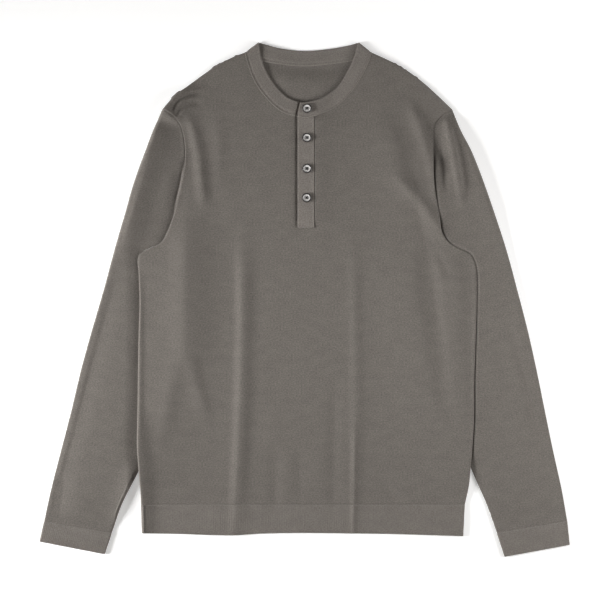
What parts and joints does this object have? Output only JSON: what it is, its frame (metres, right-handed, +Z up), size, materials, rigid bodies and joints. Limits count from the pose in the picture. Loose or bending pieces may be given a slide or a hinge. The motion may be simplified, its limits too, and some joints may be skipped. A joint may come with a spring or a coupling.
{
  "type": "henley sweater",
  "caption": "Long-sleeved knitted henley laid flat on its back, with a rib neckband, a buttoned half placket, rib cuffs and a rib hem band, its sleeves angled down beneath the body's sides.",
  "frame": {"origin": "middle of the sweater's plan outline, on the surface that it lies on", "axes": "+Z up from the surface, +Y towards the collar, +X across the sweater, to the right as seen from above with the collar away from the viewer"},
  "size_m": [0.775, 0.7518, 0.0113],
  "materials": {
    "jersey": "matt fine heathered knit",
    "rib": "matt fine rib knit, doubled",
    "shell": "pearly, polished, with a dark rim"
  },
  "bodies": {
    "root": {"body_front": "jersey", "body_back": "jersey", "sleeve_left": "jersey", "sleeve_right": "jersey", "cuff_left": "rib", "cuff_right": "rib", "hem_band": "rib", "neckband": "rib", "placket_under": "rib", "placket_upper": "rib", "button_1": "shell", "button_2": "shell", "button_3": "shell", "button_4": "shell"}
  },
  "joints": []
}
